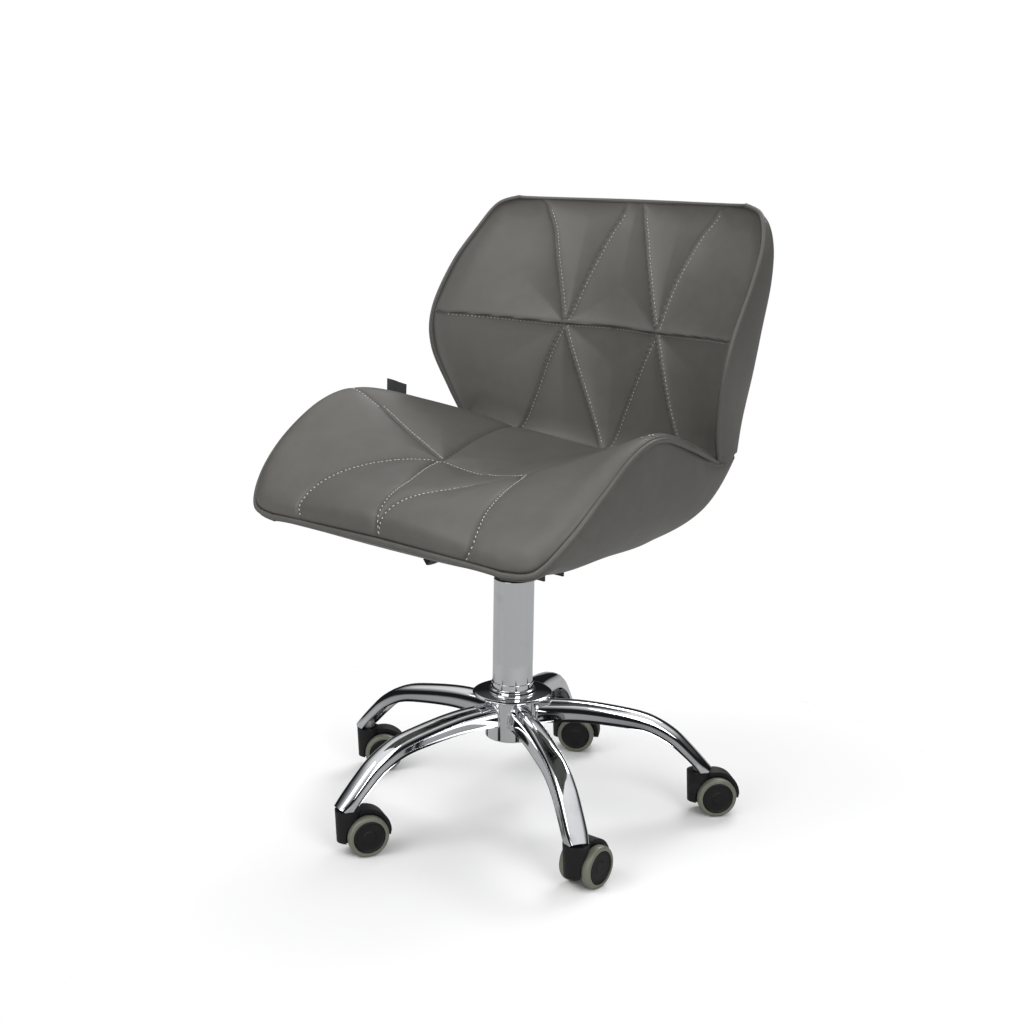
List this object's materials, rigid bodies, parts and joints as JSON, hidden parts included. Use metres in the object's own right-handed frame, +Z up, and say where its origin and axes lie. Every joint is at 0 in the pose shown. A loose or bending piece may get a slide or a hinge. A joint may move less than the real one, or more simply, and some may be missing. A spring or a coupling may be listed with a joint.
{
  "type": "swivel chair",
  "caption": "Low-back swivel chair: padded bucket seat and wrap-around back on a gas-lift column, a star base of arched channel legs and twin-wheel casters.",
  "frame": {"origin": "on the floor, on the axis of the column", "axes": "+Z up along the column, -Y the way the sitter faces, +X the sitter's left"},
  "size_m": [0.5238, 0.5051, 0.7607],
  "materials": {
    "chromed_steel": "polished",
    "plain_steel": "zinc plated",
    "cylinder_paint": "satin",
    "black_paint": "satin",
    "black_plastic": "fine grained",
    "tyre_grey": "smooth",
    "buffer_rubber": "matte",
    "plywood": "raw",
    "grey_leather": "smooth grained",
    "welt_leather": "smooth grained"
  },
  "bodies": {
    "base": {"base_hub": "chromed_steel", "base_plate": "chromed_steel", "leg_1": "chromed_steel", "leg_2": "chromed_steel", "leg_3": "chromed_steel", "leg_4": "chromed_steel", "leg_5": "chromed_steel", "caster_sockets": "plain_steel", "column_tube": "chromed_steel", "column_bush": "black_plastic"},
    "rod": {"piston_rod": "chromed_steel", "thrust_bearing": "plain_steel", "rod_clip": "plain_steel", "rubber_buffer": "buffer_rubber"},
    "seat": {"gas_cylinder": "cylinder_paint", "seat_plate": "black_paint", "plate_bolts": "plain_steel", "tee_nuts": "plain_steel", "seat_ply": "plywood", "back_ply": "plywood", "back_irons": "plain_steel", "seat_cushion": "grey_leather", "back_cushion": "grey_leather", "seat_cover": "grey_leather", "back_cover": "grey_leather", "seat_welt": "welt_leather", "back_welt": "welt_leather"},
    "valve": {"valve_pin": "chromed_steel"},
    "lever": {"lever_rod": "plain_steel", "lever_grip": "black_plastic"},
    "fork_1": {"caster_1_hood": "black_plastic", "caster_1_pins": "plain_steel"},
    "wheel_1_left": {"caster_1_core_left": "black_plastic", "caster_1_tyre_left": "tyre_grey"},
    "wheel_1_right": {"caster_1_core_right": "black_plastic", "caster_1_tyre_right": "tyre_grey"},
    "fork_2": {"caster_2_hood": "black_plastic", "caster_2_pins": "plain_steel"},
    "wheel_2_left": {"caster_2_core_left": "black_plastic", "caster_2_tyre_left": "tyre_grey"},
    "wheel_2_right": {"caster_2_core_right": "black_plastic", "caster_2_tyre_right": "tyre_grey"},
    "fork_3": {"caster_3_hood": "black_plastic", "caster_3_pins": "plain_steel"},
    "wheel_3_left": {"caster_3_core_left": "black_plastic", "caster_3_tyre_left": "tyre_grey"},
    "wheel_3_right": {"caster_3_core_right": "black_plastic", "caster_3_tyre_right": "tyre_grey"},
    "fork_4": {"caster_4_hood": "black_plastic", "caster_4_pins": "plain_steel"},
    "wheel_4_left": {"caster_4_core_left": "black_plastic", "caster_4_tyre_left": "tyre_grey"},
    "wheel_4_right": {"caster_4_core_right": "black_plastic", "caster_4_tyre_right": "tyre_grey"},
    "fork_5": {"caster_5_hood": "black_plastic", "caster_5_pins": "plain_steel"},
    "wheel_5_left": {"caster_5_core_left": "black_plastic", "caster_5_tyre_left": "tyre_grey"},
    "wheel_5_right": {"caster_5_core_right": "black_plastic", "caster_5_tyre_right": "tyre_grey"}
  },
  "joints": [
    {"name": "seat_swivel", "type": "hinge", "parent": "base", "child": "rod", "pos_m": [0, 0, 0.2], "axis": [0, 0, 1], "continuous": true},
    {"name": "seat_lift", "type": "slide", "parent": "rod", "child": "seat", "axis": [0, 0, 1], "range_m": [0, 0.12]},
    {"name": "valve_press", "type": "slide", "parent": "seat", "child": "valve", "axis": [0, 0, 1], "range_m": [-0.0029, 0]},
    {"name": "lift_lever", "type": "hinge", "parent": "seat", "child": "lever", "pos_m": [-0.03, 0, 0.33605], "axis": [0, 1, 0], "range_deg": [0, 5], "stiffness_Nm_per_rad": 2},
    {"name": "caster_1_swivel", "type": "hinge", "parent": "base", "child": "fork_1", "pos_m": [0.17333, 0.16163, 0.06], "axis": [0, 0, 1], "continuous": true},
    {"name": "wheel_1_left_spin", "type": "hinge", "parent": "fork_1", "child": "wheel_1_left", "pos_m": [0.18564, 0.17739, 0.025], "axis": [-0.788, 0.6157, 0], "continuous": true},
    {"name": "wheel_1_right_spin", "type": "hinge", "parent": "fork_1", "child": "wheel_1_right", "pos_m": [0.18564, 0.17739, 0.025], "axis": [-0.788, 0.6157, 0], "continuous": true},
    {"name": "caster_2_swivel", "type": "hinge", "parent": "base", "child": "fork_2", "pos_m": [-0.10016, 0.21479, 0.06], "axis": [0, 0, 1], "continuous": true},
    {"name": "wheel_2_left_spin", "type": "hinge", "parent": "fork_2", "child": "wheel_2_left", "pos_m": [-0.08339, 0.22569, 0.025], "axis": [-0.5446, 0.8387, 0], "continuous": true},
    {"name": "wheel_2_right_spin", "type": "hinge", "parent": "fork_2", "child": "wheel_2_right", "pos_m": [-0.08339, 0.22569, 0.025], "axis": [-0.5446, 0.8387, 0], "continuous": true},
    {"name": "caster_3_swivel", "type": "hinge", "parent": "base", "child": "fork_3", "pos_m": [-0.23523, -0.02888, 0.06], "axis": [0, 0, 1], "continuous": true},
    {"name": "wheel_3_left_spin", "type": "hinge", "parent": "fork_3", "child": "wheel_3_left", "pos_m": [-0.22238, -0.01356, 0.025], "axis": [-0.766, 0.6428, 0], "continuous": true},
    {"name": "wheel_3_right_spin", "type": "hinge", "parent": "fork_3", "child": "wheel_3_right", "pos_m": [-0.22238, -0.01356, 0.025], "axis": [-0.766, 0.6428, 0], "continuous": true},
    {"name": "caster_4_swivel", "type": "hinge", "parent": "base", "child": "fork_4", "pos_m": [-0.04522, -0.23265, 0.06], "axis": [0, 0, 1], "continuous": true},
    {"name": "wheel_4_left_spin", "type": "hinge", "parent": "fork_4", "child": "wheel_4_left", "pos_m": [-0.03709, -0.21437, 0.025], "axis": [-0.9135, 0.4067, 0], "continuous": true},
    {"name": "wheel_4_right_spin", "type": "hinge", "parent": "fork_4", "child": "wheel_4_right", "pos_m": [-0.03709, -0.21437, 0.025], "axis": [-0.9135, 0.4067, 0], "continuous": true},
    {"name": "caster_5_swivel", "type": "hinge", "parent": "base", "child": "fork_5", "pos_m": [0.20728, -0.1149, 0.06], "axis": [0, 0, 1], "continuous": true},
    {"name": "wheel_5_left_spin", "type": "hinge", "parent": "fork_5", "child": "wheel_5_left", "pos_m": [0.20624, -0.09493, 0.025], "axis": [-0.9986, -0.0523, 0], "continuous": true},
    {"name": "wheel_5_right_spin", "type": "hinge", "parent": "fork_5", "child": "wheel_5_right", "pos_m": [0.20624, -0.09493, 0.025], "axis": [-0.9986, -0.0523, 0], "continuous": true}
  ],
  "couplings": [
    {"joint": "valve_press", "follows": "lift_lever", "m_per_rad": -0.0315}
  ]
}
